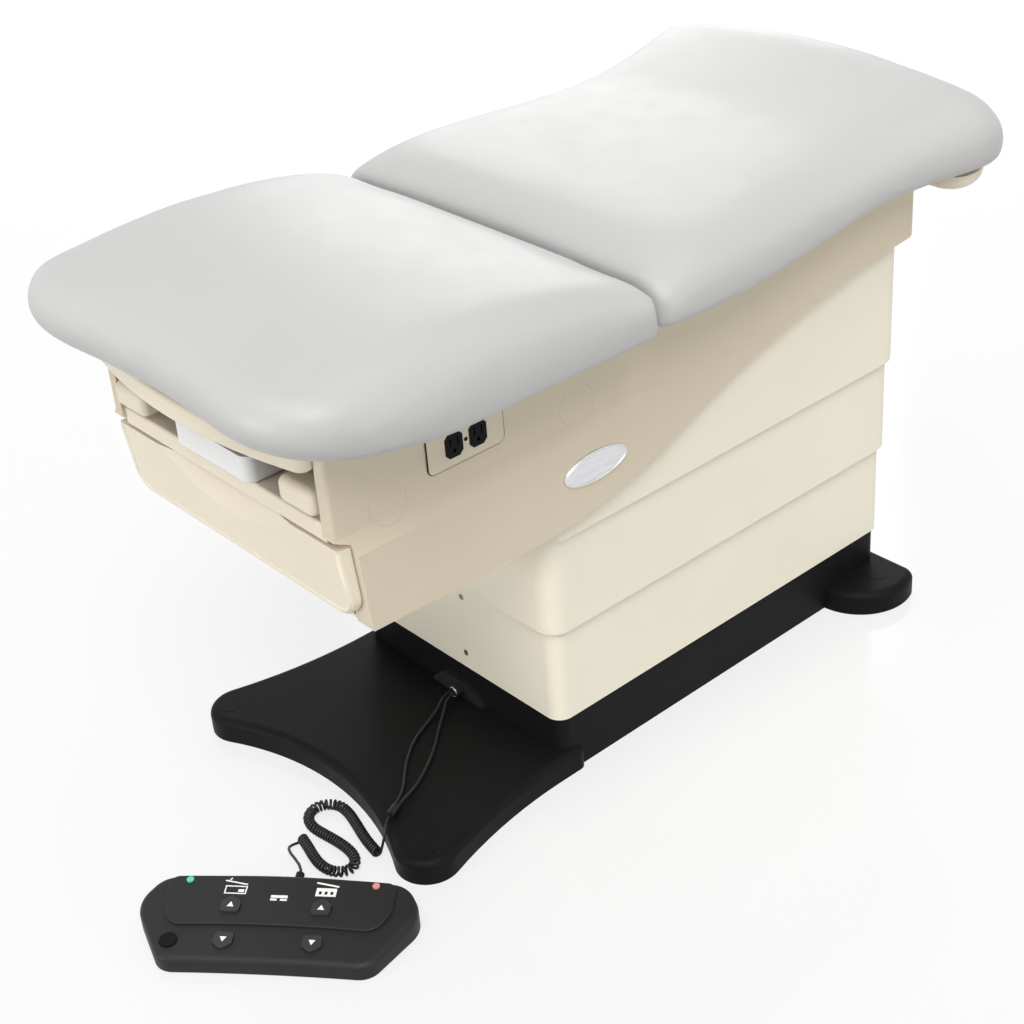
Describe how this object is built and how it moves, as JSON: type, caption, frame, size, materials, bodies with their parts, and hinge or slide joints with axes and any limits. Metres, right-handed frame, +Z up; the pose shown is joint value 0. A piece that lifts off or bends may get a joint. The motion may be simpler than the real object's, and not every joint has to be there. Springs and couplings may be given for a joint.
{
  "type": "electric examination table",
  "caption": "Electric examination table: padded seat and tilting back on a telescoping lift column, with storage drawer, leg extension, stirrups, treatment pan and corded foot control",
  "frame": {"origin": "on the floor at the centre of the lift column, on the underside of the base plate", "axes": "+Y runs along the table towards the head, +X to the side with the power outlet, +Z up"},
  "size_m": [0.6952, 1.5064, 0.8406],
  "materials": {
    "pad": "satin upholstery vinyl",
    "cream": "satin",
    "tan": "satin",
    "black_base": "fine matte texture",
    "black_plastic": "fine matte texture",
    "key_plastic": "satin",
    "rubber": "matte",
    "cord": "satin",
    "steel": "satin",
    "bright": "brushed",
    "badge": "satin",
    "white": "gloss",
    "outlet": "satin",
    "outlet_black": "gloss",
    "green": "gloss",
    "red": "gloss",
    "wood": "raw plywood"
  },
  "bodies": {
    "base": {"base_plate": "black_base", "levelling_feet": "rubber", "leveller_caps": "black_plastic", "plinth_skirt": "black_base", "cord_outlet_plate": "black_plastic", "cord_gland": "black_plastic", "shroud_lower": "cream", "shroud_screws": "bright", "column_outer": "steel", "column_bolts": "bright", "lift_spindle": "bright", "lift_motor": "steel", "control_box": "steel", "foot_control_base": "black_plastic", "foot_control_panel": "black_plastic", "foot_control_cord_relief": "rubber", "foot_control_feet": "rubber", "lamp_green": "green", "lamp_red": "red", "cord_leads": "cord", "cord_sleeve": "cord", "cord_curl": "cord"},
    "middle_shroud": {"shroud_middle": "cream"},
    "middle_stage": {"column_middle": "steel"},
    "carriage": {"column_inner": "steel", "shroud_upper": "cream", "housing_shell_right": "tan", "housing_shell_left": "tan", "panel_caps": "tan", "outlet_plate": "outlet", "outlet_sockets": "outlet_black", "badge": "badge", "storage_shelf": "tan", "drawer_bay": "tan", "carriage_frame": "steel", "hinge_pins": "bright", "seat_pan": "wood", "back_stops": "rubber", "seat_pad": "pad", "back_actuator": "steel", "drawer_runners": "bright", "leg_guides": "white", "stirrup_guides": "steel"},
    "back_section": {"back_pad": "pad", "back_pan": "wood", "back_arms": "steel", "head_pan": "tan"},
    "back_rod": {"actuator_rod": "bright"},
    "drawer": {"drawer_front": "tan", "drawer_box": "white"},
    "leg_extension": {"leg_handle": "tan", "leg_slab": "tan"},
    "pan": {"treatment_pan": "white"},
    "right_stirrup": {"stirrup_right": "tan"},
    "left_stirrup": {"stirrup_left": "tan"},
    "key_up_left_body": {"key_up_left": "key_plastic"},
    "key_up_right_body": {"key_up_right": "key_plastic"},
    "key_down_left_body": {"key_down_left": "key_plastic"},
    "key_down_right_body": {"key_down_right": "key_plastic"},
    "key_round_body": {"key_round": "key_plastic"}
  },
  "joints": [
    {"name": "lift", "type": "slide", "parent": "base", "child": "carriage", "axis": [0, 0, 1], "range_m": [-0.348, 0.077]},
    {"name": "middle_shroud_lift", "type": "slide", "parent": "base", "child": "middle_shroud", "axis": [0, 0, 1], "range_m": [-0.1741, 0.0386]},
    {"name": "middle_stage_lift", "type": "slide", "parent": "base", "child": "middle_stage", "axis": [0, 0, 1], "range_m": [-0.1741, 0.0386]},
    {"name": "back_tilt", "type": "hinge", "parent": "carriage", "child": "back_section", "pos_m": [0, -0.231, 0.754], "axis": [1, 0, 0], "range_deg": [0, 80]},
    {"name": "back_rod_slide", "type": "slide", "parent": "carriage", "child": "back_rod", "axis": [0, 1, 0], "range_m": [0, 0.152]},
    {"name": "drawer_slide", "type": "slide", "parent": "carriage", "child": "drawer", "axis": [0, -1, 0], "range_m": [0, 0.26]},
    {"name": "leg_extension_slide", "type": "slide", "parent": "carriage", "child": "leg_extension", "axis": [0, -1, 0], "range_m": [0, 0.31]},
    {"name": "pan_slide", "type": "slide", "parent": "carriage", "child": "pan", "axis": [0, -1, 0], "range_m": [0, 0.25]},
    {"name": "right_stirrup_slide", "type": "slide", "parent": "carriage", "child": "right_stirrup", "axis": [0, -1, 0], "range_m": [0, 0.22]},
    {"name": "left_stirrup_slide", "type": "slide", "parent": "carriage", "child": "left_stirrup", "axis": [0, -1, 0], "range_m": [0, 0.22]},
    {"name": "key_up_left_press", "type": "slide", "parent": "base", "child": "key_up_left_body", "axis": [0, 0, -1], "range_m": [0, 0.002], "stiffness_N_per_m": 600},
    {"name": "key_up_right_press", "type": "slide", "parent": "base", "child": "key_up_right_body", "axis": [0, 0, -1], "range_m": [0, 0.002], "stiffness_N_per_m": 600},
    {"name": "key_down_left_press", "type": "slide", "parent": "base", "child": "key_down_left_body", "axis": [0, 0, -1], "range_m": [0, 0.002], "stiffness_N_per_m": 600},
    {"name": "key_down_right_press", "type": "slide", "parent": "base", "child": "key_down_right_body", "axis": [0, 0, -1], "range_m": [0, 0.002], "stiffness_N_per_m": 600},
    {"name": "key_round_press", "type": "slide", "parent": "base", "child": "key_round_body", "axis": [0, 0, -1], "range_m": [0, 0.002], "stiffness_N_per_m": 600}
  ],
  "couplings": [
    {"joint": "middle_shroud_lift", "follows": "lift", "ratio": 0.5},
    {"joint": "middle_stage_lift", "follows": "lift", "ratio": 0.5},
    {"joint": "back_rod_slide", "follows": "back_tilt", "m_per_rad": 0.10865}
  ]
}
